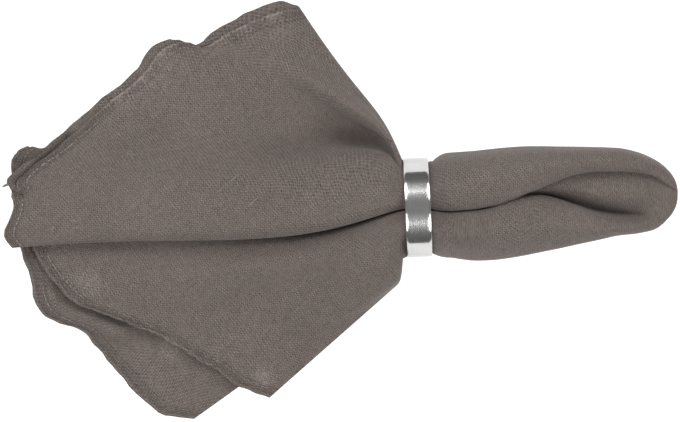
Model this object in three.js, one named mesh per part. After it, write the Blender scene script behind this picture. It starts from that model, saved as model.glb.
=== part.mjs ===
// A linen napkin, folded in quarters and drawn by its centre through a round metal ring, lying on a table.
// Millimetres, Z up. The hems fan out towards -X, the closed tip lies towards +X and the table is at Z = 0.
import * as THREE from 'three';

// Cloth: two layers lie together as one doubled strip, and the strip runs back and forth across each section.
const CLOTH = 1;
const LAYER_GAP = 0.4;
const STRIP_GAP = 1;
const HALF = CLOTH + LAYER_GAP / 2;
const STACK = 2 * HALF + STRIP_GAP;

// Ring: a plain round band on its edge, turned a little on the table.
const RING_DIAMETER = 47.5;
const RING_WALL = 1.25;
const RING_WIDTH = 12;
const RING_EDGE = 0.5;
const RING_EDGE_STEPS = 2;
const RING_FACETS = 60;
const RING_X = 35.8;
const RING_Y = 1.6;
const RING_TURN = THREE.MathUtils.degToRad(2.7);
const RING_RADIUS = RING_DIAMETER / 2;
const RING_AXIS_Z = RING_RADIUS * Math.cos(Math.PI / RING_FACETS);

// The strip inside the ring keeps this far from the band, and holds that shape a little past both edges.
const RING_CLEARANCE = 0.75;
const EDGE_CLEARANCE = 2.4;
const RING_REACH = RING_WIDTH / 2 + EDGE_CLEARANCE;
const STRIP_RADIUS = RING_RADIUS - RING_WALL - RING_CLEARANCE - HALF;

// Folds along the strip, from the edge under the fan to the edge on top of it.
// angle and reach: place inside the ring, in degrees and as a share of the strip's radius.
// droop: how fast the fold falls from the ring to the table.
// spread and rise: swelling beside the ring, each with how soon it is there and how soon it goes.
const FOLD_COLUMNS = [
  'name', 'angle', 'reach', 'steps', 'droop',
  'spread', 'spreadGrow', 'spreadFade', 'rise', 'riseGrow', 'riseFade',
];
const FOLDS = [
  ['backEdge', -142, 1, 9, 4, -12, 0.2, 1, 0, 0.2, 1],
  ['keel', -90, 1, 3, 4, 0, 0.13, 2, 0, 0.13, 2],
  ['keelCorner', -46, 1, 2, 3, 4, 0.13, 2, 0, 0.13, 2],
  ['edgeUnder', -18, 1, 1, 2.2, 13, 0.17, 2.5, 1.5, 0.17, 2],
  ['upperEdge', -5, 1, 1, 2.1, 14, 0.18, 2.5, 4, 0.17, 2],
  ['edgeOver', 6, 1, 2, 2, 13, 0.18, 2.5, 5, 0.17, 1.5],
  ['flapRidge', 16, 1, 1, 1.05, 9.5, 0.06, 1, -2, 0.1, 2.5],
  ['flapFoot', 26, 1, 3, 1.15, 7, 0.06, 0.6, -24, 0.2, 3],
  ['pleatFoot', 40, 1, 2, 1.8, 7.5, 0.07, 1.2, -26, 0.2, 3],
  ['pleatEdge', 53, 1, 2, 1.8, 11.5, 0.09, 2.9, -10, 0.2, 2.6],
  ['upperCrest', 66, 1, 2, 1.8, 0, 0.13, 2, 0, 0.13, 2],
  ['creaseOver', 80, 0.93, 1, 1.8, -8, 0.13, 1, 1.6, 0.13, 2],
  ['creaseEdge', 88.5, 0.79, 1, 1.8, -9, 0.13, 1, 1.2, 0.13, 2],
  ['creaseUnder', 88, 0.5, 2, 1.8, -7, 0.13, 1, 0.7, 0.13, 2],
  ['valleyUpper', -88, 0.72, 2, 1.8, -1.5, 0.13, 2, 0.7, 0.13, 2],
  ['valleyLower', -107, 0.72, 3, 1.8, -6.5, 0.13, 2, 0, 0.13, 2],
  ['lowerShoulder', 102, 0.77, 5, 1.8, -8.5, 0.13, 0.75, -0.5, 0.13, 2],
  ['lowerCrest', 117, 1, 3, 1.8, -12, 0.1, 1.8, -1.5, 0.1, 1.8],
  ['lowerSide', 172, 1, 2, 1.8, -12.5, 0.03, 1.2, 0, 0.13, 1.2],
  ['lowerEdge', 200, 1, 0, 1.9, -14.3, 0.025, 1, 0, 0.13, 1],
];

// Sections of the tail, from the ring to the tip.
// Outline: upper, lower. Edges of the two rolls: crease, roll.
// Heights: crest, edge, leaf, dip, rollTop, lowCrest.
// under, tuck, lowTuck: how far the leaf between the rolls runs in under each of them.
const TAIL_COLUMNS = [
  'x', 'upper', 'crease', 'roll', 'lower',
  'crest', 'edge', 'leaf', 'dip', 'rollTop', 'lowCrest',
  'under', 'tuck', 'lowTuck',
];
const TAIL = [
  [52, 27.9, 0.2, -0.9, -22, 42, 37, 9.5, 9.5, 36, 40, 0, 0, 0.5],
  [64, 28.8, 0.9, -0.3, -23.4, 39.5, 34, 10, 10, 33, 37, 0, 0, 0.5],
  [78, 30.3, 4.1, 2.7, -22.4, 36, 31, 12, 10, 29, 33, 0.9, 0.75, 1],
  [84.5, 30.8, 6.7, 5.1, -21.4, 34, 29.3, 14.5, 9.8, 27, 30.8, 1.7, 1.4, 1.9],
  [91, 31, 9.2, 7.4, -20.2, 32, 27.5, 17, 9.5, 25, 28.5, 2.7, 2.2, 2.8],
  [96.5, 31, 11.5, 7.6, -19.1, 30.2, 25.8, 18, 9.2, 22.7, 26.2, 3.4, 2.9, 3.1],
  [102, 30.9, 13.9, 7.2, -18.1, 28.5, 24.2, 18, 8.6, 20.5, 24, 4, 3.4, 3.3],
  [112, 30.8, 17.6, 3.9, -16, 25.5, 21.7, 16.6, 7.4, 17, 20.5, 4.5, 3.8, 3.3],
  [122, 30.6, 18.8, -0.2, -14, 22.5, 19.6, 14.6, 6.6, 14.4, 17, 3.6, 3, 2],
  [132, 30.2, 18.6, -2.6, -12, 19.5, 17.2, 12.8, 6.6, 11.6, 13, 2, 1.6, -0.5],
  [141, 28.4, 17.4, -3.4, -11.2, 16, 14.8, 11.4, 7.2, 9.8, 10.2, 0, -0.6, -2.5],
  [149.2, 25, 15, -2, -9.4, 12.6, 12, 10.2, 7.7, 8.2, 8.4, -0.8, -2.4, -4],
  [156, 19.2, 9.8, 2, -5.2, 10.4, 9.9, 8.8, 7.8, 7.4, 7.2, -0.6, -1.8, -3],
  [160.4, 14, 5.8, 4, 0.2, 9, 8.8, 8.3, 7.4, 6.7, 6.2, -0.5, -1.2, -1],
];

// Hem, in the order of the folds: lift is the height of the strip's underside over the table.
const HEM_COLUMNS = ['fold', 'x', 'y', 'lift'];
const HEM = [
  ['backEdge', -71.6, -99.6, 0],
  ['', -88.2, -96.6, 0],
  ['', -105.6, -79.6, 0],
  ['', -118, -65.2, 0],
  ['', -123, -58.2, 0],
  ['', -137, -53.2, 0],
  ['', -144.5, -48.6, 0],
  ['', -150.6, -29.3, 0],
  ['', -155.4, -14, 0],
  ['keel', -158.6, 17.4, 0],
  ['', -157.2, 26.6, 0],
  ['', -153.2, 30.2, 0],
  ['', -134, 34, 0],
  ['keelCorner', -93, 64, 0],
  ['', -50, 86, 0],
  ['edgeUnder', -23.6, 95.4, 0],
  ['upperEdge', -21.2, 97.2, STACK / 2],
  ['edgeOver', -23.2, 99, STACK],
  ['', -29.8, 100.3, STACK],
  ['flapRidge', -56, 89.9, STACK],
  ['flapFoot', -72.2, 78, STACK + 0.5],
  ['', -81.3, 82.5, STACK + 0.8],
  ['', -92.2, 77.4, STACK + 1],
  ['', -99.2, 66.8, STACK + 1.1],
  ['pleatFoot', -123, 47.2, STACK + 2],
  ['pleatEdge', -142, 29.8, STACK + 4],
  ['upperCrest', -160.4, 14.3, 3 * STACK + 0.5],
  ['', -158.4, 2, 3 * STACK + 0.5],
  ['creaseOver', -161, -12, 3 * STACK],
  ['creaseEdge', -158, -17, 2.5 * STACK],
  ['creaseUnder', -157.8, -12.5, 2 * STACK],
  ['valleyUpper', -151, 10, 2 * STACK + 0.8],
  ['valleyLower', -149.5, 10, STACK + 0.6],
  ['lowerShoulder', -147.5, -19, STACK],
  ['', -144.3, -26, STACK],
  ['', -135.2, -37.3, STACK],
  ['', -125.6, -45, STACK],
  ['', -111.2, -50.4, STACK],
  ['lowerCrest', -92, -58, STACK],
  ['', -79, -65, STACK],
  ['', -58.5, -78, STACK],
  ['lowerSide', -49.9, -83.6, STACK],
  ['lowerEdge', -35.4, -89.2, STACK],
];

// The outside of the tail, from under it: shares of the width in from the outline, and of the height.
// The underside and the outer wall go by the whole width, and the top by the width of the upper roll.
const SHARE_COLUMNS = ['fold', 'inward', 'height'];
const TAIL_WALL = [
  ['backEdge', 0.8, 0],
  ['keel', 0.5, 0],
  ['keelCorner', 0.14, 0.03],
  ['edgeUnder', 0.02, 0.22],
  ['upperEdge', 0, 0.42],
];
const TAIL_TOP = [
  ['edgeOver', 0.05, 0.6],
  ['flapRidge', 0.11, 0.73],
  ['flapFoot', 0.18, 0.83],
  ['pleatFoot', 0.25, 0.89],
  ['pleatEdge', 0.33, 0.94],
  ['upperCrest', 0.5, 1],
];
const NOSE_WIDTH = 0.16;
const NOSE_HEIGHT = 0.6;

// A lower roll at least this high curls right down, and its edge then lies a little in from the outline.
const ROLL_HEIGHT = 12;
const ROLL_SIDE = 0.8;
const ROLL_EDGE_HEIGHT = 0.1;
const ROLL_EDGE_INSET = 0.6;

// Where the extra section between the tail and the ring lies.
const NECK = 0.5;

// Stations of the fan, as shares of the way from the ring to the hem.
const FAN = [0.02, 0.042, 0.07, 0.11, 0.17, 0.25, 0.33, 0.42, 0.52, 0.63, 0.76, 0.89, 1];
const SWELL_POWER = 1.4;
const MITRE_LIMIT = 1.5;
const CAP_ANGLES = [Math.PI / 4, -Math.PI / 4];

const named = (columns, rows) =>
  rows.map((row) => Object.fromEntries(columns.map((column, i) => [column, row[i]])));
const folds = named(FOLD_COLUMNS, FOLDS);
const tail = named(TAIL_COLUMNS, TAIL);
const hem = named(HEM_COLUMNS, HEM);
const tailWall = named(SHARE_COLUMNS, TAIL_WALL);
const tailTop = named(SHARE_COLUMNS, TAIL_TOP);

// Points of a smooth line through knots: steps[i] of them from one marked knot to the next.
function runThrough(knots, marks, steps) {
  const curve = new THREE.CatmullRomCurve3(knots, false, 'centripetal');
  const points = [];
  for (let i = 0; i + 1 < marks.length; i++) {
    for (let step = 0; step < steps[i]; step++) {
      const knot = marks[i] + ((marks[i + 1] - marks[i]) * step) / steps[i];
      points.push(curve.getPoint(knot / (knots.length - 1)));
    }
  }
  points.push(knots[knots.length - 1].clone());
  return points;
}

const foldSteps = folds.map((fold) => fold.steps);
const foldMarks = folds.map((fold, i) => i);
const onTable = (point) => point.setZ(Math.max(point.z, HALF));

// The strip's middle line where the ring holds it.
function heldSection(x) {
  const knots = folds.map((fold) => {
    const angle = THREE.MathUtils.degToRad(fold.angle);
    const radius = STRIP_RADIUS * fold.reach;
    return new THREE.Vector3(x, RING_Y + radius * Math.cos(angle), RING_AXIS_Z + radius * Math.sin(angle));
  });
  return runThrough(knots, foldMarks, foldSteps);
}

// The strip's middle line in one section of the tail: a flat underside, two rolls and the leaf between them.
function tailSection(row) {
  const { lerp } = THREE.MathUtils;
  const upper = row.upper - HALF;
  const lower = row.lower + HALF;
  const edge = row.crease + HALF;
  const roll = row.roll - HALF;
  const crest = row.crest - HALF;
  const edgeTop = row.edge - HALF;
  const leafTop = row.leaf - HALF;
  const lowCrest = row.lowCrest - HALF;
  const lap = HALF + STACK;
  const curl = Math.min((lowCrest - lap) / ROLL_HEIGHT, 1);
  const places = [
    ...tailWall.map(({ inward, height }) => [lerp(upper, lower, inward), lerp(HALF, crest, height)]),
    ...tailTop.map(({ inward, height }) => [lerp(upper, edge, inward), lerp(HALF, crest, height)]),
    [lerp(edge, upper, NOSE_WIDTH), lerp(edgeTop, crest, NOSE_HEIGHT)],
    [edge, edgeTop],
    [edge + row.under, (edgeTop + leafTop) / 2],
    [edge + row.tuck, leafTop],
    [roll - row.lowTuck, row.dip - HALF],
    [roll, row.rollTop - HALF],
    [(roll + lower) / 2, lowCrest],
    [lerp(roll, lower, lerp(ROLL_SIDE, 1, curl)), (lap + lowCrest) / 2],
    [lower + ROLL_EDGE_INSET * curl, lerp(lap, lowCrest, ROLL_EDGE_HEIGHT)],
  ];
  const knots = places.map(([y, z]) => new THREE.Vector3(row.x, y, z));
  return runThrough(knots, foldMarks, foldSteps).map(onTable);
}

// The strip's end: the hem, on or over the table.
function hemLine() {
  const knots = hem.map((row) => new THREE.Vector3(row.x, row.y, HALF + row.lift));
  const marks = folds.map((fold) => hem.findIndex((row) => row.fold === fold.name));
  return runThrough(knots, marks, foldSteps).map(onTable);
}

// A value listed for each fold, at every point of the strip.
function alongStrip(column) {
  const values = [];
  for (let i = 0; i + 1 < folds.length; i++) {
    for (let step = 0; step < folds[i].steps; step++) {
      const share = step / folds[i].steps;
      values.push(THREE.MathUtils.lerp(folds[i][column], folds[i + 1][column], share));
    }
  }
  values.push(folds[folds.length - 1][column]);
  return values;
}

// How far each point of the strip swells out, at a share of the way from the ring to the hem.
function swelling(column, way) {
  const size = alongStrip(column);
  const grow = alongStrip(`${column}Grow`);
  const fade = alongStrip(`${column}Fade`);
  return size.map((full, i) => {
    const grown = 1 - Math.exp(-Math.pow(way / grow[i], SWELL_POWER));
    return full * grown * Math.pow(1 - way, fade[i]);
  });
}

// The fan: straight runs from the ring to the hem that droop to the table and swell beside the ring.
function fanSections(start, end) {
  const droop = alongStrip('droop');
  return FAN.map((way) => {
    const spread = swelling('spread', way);
    const rise = swelling('rise', way);
    return start.map((from, i) => {
      const to = end[i];
      const point = from.clone().lerp(to, way);
      point.y += spread[i];
      point.z = to.z + (from.z - to.z) * Math.pow(1 - way, droop[i]) + rise[i];
      return onTable(point);
    });
  });
}

const held = [RING_X + RING_REACH, RING_X - RING_REACH].map(heldSection);
const loose = tail.map(tailSection).reverse();
const neck = held[0].map((point, i) => point.clone().lerp(loose[loose.length - 1][i], NECK));
const stations = [...loose, neck, ...held, ...fanSections(held[1], hemLine())];

// Normal of the strip at one point, lengthened at a bend so that the cloth keeps its thickness there.
function normalAt(station, i) {
  const line = stations[station];
  const ahead = stations[Math.min(station + 1, stations.length - 1)][i];
  const behind = stations[Math.max(station - 1, 0)][i];
  const along = ahead.clone().sub(behind).normalize();
  const crosswise = (from) => line[from + 1].clone().sub(line[from]).projectOnPlane(along).normalize();
  const before = crosswise(Math.max(i - 1, 0));
  const after = crosswise(Math.min(i, line.length - 2));
  const bend = before.angleTo(after);
  const across = before.add(after).normalize();
  return along.cross(across).normalize().multiplyScalar(Math.min(1 / Math.cos(bend / 2), MITRE_LIMIT));
}

// A closed ring of points round the strip, at one distance from its middle line, rounded at both edges.
function skin(station, distance) {
  const line = stations[station];
  const last = line.length - 1;
  const normals = line.map((point, i) => normalAt(station, i));
  const near = line.map((point, i) => point.clone().addScaledVector(normals[i], distance));
  const far = line.map((point, i) => point.clone().addScaledVector(normals[i], -distance));
  const cap = (i, inward, angles) => {
    const outward = line[i].clone().sub(line[inward]).normalize();
    return angles.map((angle) =>
      line[i]
        .clone()
        .addScaledVector(normals[i], distance * Math.sin(angle))
        .addScaledVector(outward, distance * Math.cos(angle)),
    );
  };
  const endCap = cap(last, last - 1, CAP_ANGLES);
  const startCap = cap(0, 1, [...CAP_ANGLES].reverse());
  return [...near, ...endCap, ...far.reverse(), ...startCap].map((point) => point.setZ(Math.max(point.z, 0)));
}

// The napkin: an outer skin over the whole strip and an inner skin from the second station to the open hem.
function napkinGeometry() {
  const outer = stations.map((line, station) => skin(station, HALF));
  const inner = stations.slice(1).map((line, index) => skin(index + 1, LAYER_GAP / 2));
  const around = outer[0].length;
  const points = [...outer, ...inner].flat();
  const index = [];
  const quad = (a, b, c, d) => index.push(a, c, b, a, d, c);
  const wall = (first, count, outward) => {
    for (let row = 0; row + 1 < count; row++) {
      for (let i = 0; i < around; i++) {
        const next = (i + 1) % around;
        const a = first + row * around;
        const b = a + around;
        const corners = [a + i, a + next, b + next, b + i];
        // Both faces are split along the same diagonals, so that they stay parallel where the cloth twists.
        if (i >= around / 2) {
          corners.push(corners.shift());
        }
        quad(...(outward ? corners : corners.reverse()));
      }
    }
  };
  const closeEnd = (first, outward) => {
    const middle = stations[0].length;
    for (let i = 1; i < around / 2; i++) {
      const a = first + middle + i;
      const b = a + 1;
      const c = first + ((middle - i + around) % around);
      const d = first + ((middle - i + 1 + around) % around);
      if (outward) {
        quad(a, b, c, d);
      } else {
        quad(a, d, c, b);
      }
    }
  };
  const innerFirst = outer.length * around;
  wall(0, outer.length, true);
  wall(innerFirst, inner.length, false);
  closeEnd(0, false);
  closeEnd(innerFirst, true);
  const outerRim = (outer.length - 1) * around;
  const innerRim = innerFirst + (inner.length - 1) * around;
  for (let i = 0; i < around; i++) {
    const next = (i + 1) % around;
    quad(outerRim + i, outerRim + next, innerRim + next, innerRim + i);
  }
  const geometry = new THREE.BufferGeometry().setFromPoints(points);
  geometry.setIndex(index);
  geometry.computeVertexNormals();
  return geometry;
}

// The ring's band: a strip with softened edges turned about the ring's axis.
function ringGeometry() {
  const half = RING_WIDTH / 2;
  const inner = RING_RADIUS - RING_WALL;
  const corners = [
    [RING_RADIUS - RING_EDGE, -half + RING_EDGE, -90],
    [RING_RADIUS - RING_EDGE, half - RING_EDGE, 0],
    [inner + RING_EDGE, half - RING_EDGE, 90],
    [inner + RING_EDGE, -half + RING_EDGE, 180],
  ];
  const profile = corners.flatMap(([radius, side, start]) =>
    Array.from({ length: RING_EDGE_STEPS + 1 }, (value, step) => {
      const angle = THREE.MathUtils.degToRad(start + (90 * step) / RING_EDGE_STEPS);
      return new THREE.Vector2(radius + RING_EDGE * Math.cos(angle), side + RING_EDGE * Math.sin(angle));
    }),
  );
  const band = new THREE.LatheGeometry([...profile, profile[0]], RING_FACETS);
  band.rotateY(Math.PI / RING_FACETS);
  band.rotateZ(-Math.PI / 2);
  return band;
}

const linen = new THREE.MeshStandardMaterial({ color: 0x716863, roughness: 0.9, metalness: 0 });
const metal = new THREE.MeshStandardMaterial({ color: 0xc9c8c6, roughness: 0.22, metalness: 1 });

const part = new THREE.Group();
const napkin = new THREE.Mesh(napkinGeometry(), linen);
napkin.name = 'napkin';
const ring = new THREE.Mesh(ringGeometry(), metal);
ring.name = 'ring';
ring.position.set(RING_X, RING_Y, RING_AXIS_Z);
ring.rotation.z = RING_TURN;
part.add(napkin, ring);

export default part;
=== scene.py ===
import functools
import math

import bpy
import numpy as np
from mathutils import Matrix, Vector
from mathutils.bvhtree import BVHTree


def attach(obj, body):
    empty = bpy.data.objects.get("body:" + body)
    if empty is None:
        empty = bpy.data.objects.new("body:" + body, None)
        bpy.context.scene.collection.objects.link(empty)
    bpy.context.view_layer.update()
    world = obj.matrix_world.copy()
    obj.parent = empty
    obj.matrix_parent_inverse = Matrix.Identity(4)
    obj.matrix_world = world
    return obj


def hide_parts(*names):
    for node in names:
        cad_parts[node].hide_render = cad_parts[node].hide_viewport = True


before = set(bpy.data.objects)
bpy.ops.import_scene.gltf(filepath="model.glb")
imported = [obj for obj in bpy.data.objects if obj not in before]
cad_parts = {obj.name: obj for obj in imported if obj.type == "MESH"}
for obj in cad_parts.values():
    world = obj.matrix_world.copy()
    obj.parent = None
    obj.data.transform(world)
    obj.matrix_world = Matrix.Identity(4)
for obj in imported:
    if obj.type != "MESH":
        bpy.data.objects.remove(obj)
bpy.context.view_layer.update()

# Lengths in the tables are millimetres, and meshes are in metres.
MM = 0.001

# Cloth: two thin layers lie together as one doubled strip, which runs back and forth across each section.
CLOTH = 0.6
LAYER_GAP = 0.5
HALF = CLOTH + LAYER_GAP / 2

# How much higher the strip lies where it covers itself once more.
STACK = 3.4

# Ring: a round band on its edge, turned a little on the table.
# RING_FLAT is half of its flat middle, and RING_SHOULDER the radius beside it.
RING_RADIUS = 23.75
RING_WALL = 1.25
RING_WIDTH = 12
RING_EDGE = 0.3
RING_EDGE_STEPS = 5
RING_SEGMENTS = 192
RING_FLAT = 4.1
RING_SHOULDER = 4.4
RING_FACE_STEPS = 24
RING_X = 35.8
RING_Y = 1.6
RING_TURN = math.radians(2.7)

# The strip inside the ring keeps this far from the band, and holds that shape a little past its edges.
RING_CLEARANCE = 0.75
EDGE_CLEARANCE = 1.2
RING_REACH = RING_WIDTH / 2 + EDGE_CLEARANCE
STRIP_RADIUS = RING_RADIUS - RING_WALL - RING_CLEARANCE - HALF

# Folds along the strip, from the edge under the fan to the edge on top of it.
# angle and reach: place inside the ring, in degrees and as a share of the strip's radius.
# steps: how many points run from this fold to the next one.
# droop: how fast the fold falls from the ring to the table.
# spread and rise: swelling beside the ring, each with how soon it is there and how soon it goes.
FOLD_COLUMNS = (
    "name", "angle", "reach", "steps", "droop",
    "spread", "spread_grow", "spread_fade", "rise", "rise_grow", "rise_fade",
)
FOLDS = (
    ("backEdge", -142, 1, 46, 4, -12, 0.2, 1, 0, 0.2, 1),
    ("keel", -90, 1, 14, 4, 0, 0.13, 2, 0, 0.13, 2),
    ("keelCorner", -46, 1, 10, 3, 4, 0.13, 2, 0, 0.13, 2),
    ("edgeUnder", -18, 1, 4, 2.2, 13, 0.17, 2.5, 1.5, 0.17, 2),
    ("upperEdge", -5, 1, 4, 2.1, 14, 0.18, 2.5, 4, 0.17, 2),
    ("edgeOver", 6, 1, 12, 2, 13, 0.18, 2.5, 5, 0.17, 1.5),
    ("flapRidge", 18, 1, 8, 1.05, 10.4, 0.06, 1, -1.5, 0.1, 2.5),
    ("flapFoot", 28, 1, 24, 1.15, 10.6, 0.04, 0.6, -30, 0.1, 2.1),
    ("pleatFoot", 36, 1, 10, 1.8, 11.2, 0.035, 1.2, -31, 0.065, 2.1),
    ("pleatEdge", 48, 1, 12, 1.8, 14.5, 0.035, 2.9, -12, 0.035, 2.6),
    ("upperCrest", 66, 1, 12, 1.8, 0, 0.13, 2, 0, 0.13, 2),
    ("creaseOver", 80, 0.93, 5, 1.8, -24, 0.33, 1.9, 2, 0.13, 1),
    ("creaseEdge", 88.5, 0.79, 5, 1.8, -26, 0.33, 1.9, -1.5, 0.13, 1),
    ("creaseUnder", 88, 0.5, 9, 1.8, -22, 0.33, 1.9, -1, 0.13, 1),
    ("valleyUpper", -88, 0.72, 8, 1.8, -1.5, 0.13, 2, 0.7, 0.13, 2),
    ("valleyLower", -107, 0.72, 12, 1.8, -6.5, 0.13, 2, 0, 0.13, 2),
    ("lowerShoulder", 99.5, 0.77, 34, 1.8, -27, 0.33, 1.8, -4.5, 0.13, 0.9),
    ("lowerCrest", 117, 1, 22, 1.8, -12, 0.1, 1.8, -1.5, 0.1, 1.8),
    ("lowerSide", 172, 1, 10, 1.8, -12.5, 0.015, 1.2, 0, 0.13, 1.2),
    ("lowerEdge", 200, 1, 0, 1.9, -14.3, 0.012, 1, 0, 0.13, 1),
)

# Sections of the tail, from the ring to the tip.
# Outline: upper, lower. Edges of the two rolls: crease, roll.
# Heights: crest, edge, leaf, dip, roll_top, low_crest.
# under, tuck, low_tuck: how far the leaf between the rolls runs in under each of them.
TAIL_COLUMNS = (
    "x", "upper", "crease", "roll", "lower",
    "crest", "edge", "leaf", "dip", "roll_top", "low_crest",
    "under", "tuck", "low_tuck",
)
TAIL = (
    (52, 27.9, 0.2, -0.9, -22, 42, 37, 9.5, 9.5, 36, 40, 0, 0, 0.5),
    (64, 28.8, 1.3, 0.1, -23.4, 39.5, 34, 25, 24.5, 33, 37, 0, 0, 0.5),
    (71, 29.6, 2.7, 1.6, -23.2, 37.8, 32.6, 30.2, 29.3, 31, 35, 0.3, 0.2, 0.4),
    (78, 30.3, 5, 3.8, -22.4, 36, 31, 28.8, 27.6, 29, 33, 0.7, 0.4, 0.3),
    (84.5, 30.8, 7.3, 6, -21.4, 34, 29.3, 26.2, 24, 26.6, 30.8, 1.4, 0.3, 0.1),
    (91, 31, 9.5, 6.9, -20.2, 32, 27.2, 19.5, 15.5, 24.2, 28.5, 2.7, 0, -0.6),
    (96.5, 31, 11.6, 6.3, -19.1, 30.2, 25, 17.6, 10.8, 22, 26.2, 3.4, -1.4, -1.8),
    (102, 30.9, 13.9, 4.9, -18.1, 28.5, 23, 17, 8.6, 19.8, 24, 4, -3, -2.2),
    (112, 30.8, 17.4, 1.2, -16, 26, 20.4, 16, 6.8, 18.4, 21.5, 4.5, -6.8, -2.8),
    (122, 30.6, 18.8, -2.8, -14, 23.4, 18.6, 14.6, 4.8, 17, 18.8, 3.6, -11, -4),
    (132, 30.2, 18.9, -5, -12, 20.6, 16.6, 13.2, 4, 14.8, 15.6, 2, -13.2, -4.6),
    (141, 28.4, 18.4, -5.6, -11.2, 17, 14.4, 11.4, 4.6, 11.8, 12.4, 0.8, -12.8, -4.4),
    (149.2, 25, 16.8, -3, -9.4, 12.8, 12.2, 9.6, 7.2, 8.4, 8.6, 0.4, -10, -3),
    (153, 22.6, 14.6, -0.4, -7, 11.4, 10.9, 9, 7.9, 7.9, 7.8, 0, -6.4, -2.8),
    (156, 19.8, 12.2, 1.8, -3.9, 10.2, 9.9, 8.6, 7.9, 7.4, 7, 0, -4.6, -2),
)

# Hem, in the order of the folds: lift is the height of the strip's underside over the table.
HEM_COLUMNS = ("fold", "x", "y", "lift")
HEM = (
    ("backEdge", -71.6, -99.6, 0),
    ("", -88.2, -96.6, 0),
    ("", -105.6, -79.6, 0),
    ("", -118, -65.2, 0),
    ("", -123, -58.2, 0),
    ("", -137, -53.2, 0),
    ("", -144.5, -48.6, 0),
    ("", -150.6, -29.3, 0),
    ("", -155.4, -14, 0),
    ("keel", -158.6, 17.4, 1),
    ("", -157.2, 26.6, 3),
    ("", -153.2, 30.2, 3),
    ("", -146, 29, 2),
    ("", -134, 34, 0),
    ("keelCorner", -93, 64, 0),
    ("", -50, 86, 0),
    ("edgeUnder", -23.6, 95.4, 0),
    ("upperEdge", -21.2, 97.2, STACK / 2),
    ("edgeOver", -23.2, 99, STACK),
    ("", -29.8, 100.3, STACK),
    ("flapRidge", -56, 89.9, STACK),
    ("flapFoot", -72.2, 78, STACK + 0.5),
    ("", -81.3, 82.5, STACK + 0.8),
    ("", -92.2, 77.4, STACK + 1),
    ("", -99.2, 66.8, STACK + 1.1),
    ("pleatFoot", -123, 47.2, STACK + 2),
    ("pleatEdge", -142, 29.8, STACK + 4),
    ("upperCrest", -160.4, 14.3, 3 * STACK + 0.5),
    ("", -157.7, 9.2, 3 * STACK + 0.5),
    ("", -157.6, 1, 3 * STACK + 0.5),
    ("creaseOver", -161, -12, 3 * STACK),
    ("creaseEdge", -158, -17, 2.5 * STACK),
    ("creaseUnder", -157.8, -12.5, 2 * STACK),
    ("valleyUpper", -151, 10, 2 * STACK + 0.8),
    ("valleyLower", -149.5, 10, STACK + 0.6),
    ("lowerShoulder", -147.5, -19, STACK),
    ("", -144.3, -26, STACK + 0.6),
    ("", -135.2, -37.3, STACK + 3),
    ("", -125.6, -45, STACK + 3.8),
    ("", -111.2, -50.4, STACK + 3.2),
    ("lowerCrest", -92, -58, STACK + 1.6),
    ("", -79, -65, STACK + 0.6),
    ("", -58.5, -78, STACK),
    ("lowerSide", -49.9, -83.6, STACK),
    ("lowerEdge", -35.4, -89.2, STACK),
)

# The outside of the tail, fold by fold: shares of the width in from the outline, and of the height.
# The wall runs from backEdge to upperEdge, and the top from edgeOver to upperCrest.
TAIL_WALL = ((0.8, 0), (0.5, 0), (0.14, 0.03), (0.02, 0.22), (0, 0.42))
TAIL_TOP = ((0.05, 0.6), (0.11, 0.73), (0.18, 0.83), (0.25, 0.89), (0.33, 0.94), (0.5, 1))

# The upper roll ends in a nose of these shares, and the cloth under it drops a little below the leaf.
NOSE_WIDTH = 0.16
NOSE_HEIGHT = 0.6
LEAF_DROP = 1.15

# A lower roll at least this high curls right down, and its edge then lies a little in from the outline.
ROLL_HEIGHT = 12
ROLL_SIDE = 0.8
ROLL_EDGE_HEIGHT = 0.1
ROLL_EDGE_INSET = 0.6

# Rows of points along the cloth, those near the hem by their distance from it.
TAIL_ROWS = 46
NECK_ROWS = 7
NECK_POWER = 2.2
FAN_ROWS = 42
FAN_CROWDING = 1.35
HEM_ZONE = 11.5
HEM_ROWS = (9.8, 8.8, 8.1, 7.4, 6.7, 6.1, 5.5, 4.9, 4.4, 3.9, 3.4, 2.9, 2.4, 1.9, 1.4, 1, 0.6, 0.3, 0)
SWELL_POWER = 1.4

# Small turns of the hem die away this far into the cloth: panels of hem, and how often each is smoothed.
HEM_TURN_REACH = 16
CALM_PASSES = 60
CALM_PANELS = (
    ("backEdge", "keel"),
    ("edgeOver", "upperCrest"),
    ("lowerShoulder", "lowerEdge"),
)

# Rounding of the pleat: how many points before its first fold, and how often.
PLEAT_MARGIN = 4
PLEAT_PASSES = 4

# Map of the threads: their angle to the roll, and the least share of a step that counts as sideways.
GRAIN = 45
LEAST_TURN = 0.6

# Rounding of the tip, of the strip's folded edges and of the hem's edge, with angles in degrees.
TIP_RADIUS = 17
TIP_START = 45
TIP_ANGLES = (50, 56, 62, 68, 74, 80, 85, 88)
CAP_ANGLES = (67.5, 45, 22.5, 0, -22.5, -45, -67.5)
RIM_ANGLES = (36, 72, 108, 144)

# The slit between the layers has one row for this many rows of the cloth, or of the hem.
SLIT_STEP = 2
SLIT_HEM_STEP = 3

# How far the upper layer's hem lies back from the lower layer's, at a fold or some points past it.
LAP_COLUMNS = ("fold", "past", "lap")
HEM_LAPS = (
    ("upperEdge", 0, 0),
    ("edgeOver", 0, 2.5),
    ("edgeOver", 6, 5),
    ("flapRidge", 0, 5.4),
    ("flapFoot", 0, 5),
    ("pleatFoot", 0, 4.4),
    ("pleatEdge", 0, 6),
    ("upperCrest", 0, 5),
    ("upperCrest", 3, 3.5),
    ("upperCrest", 5, -1),
    ("creaseOver", 0, -1),
    ("creaseEdge", 0, 0),
)

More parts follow.
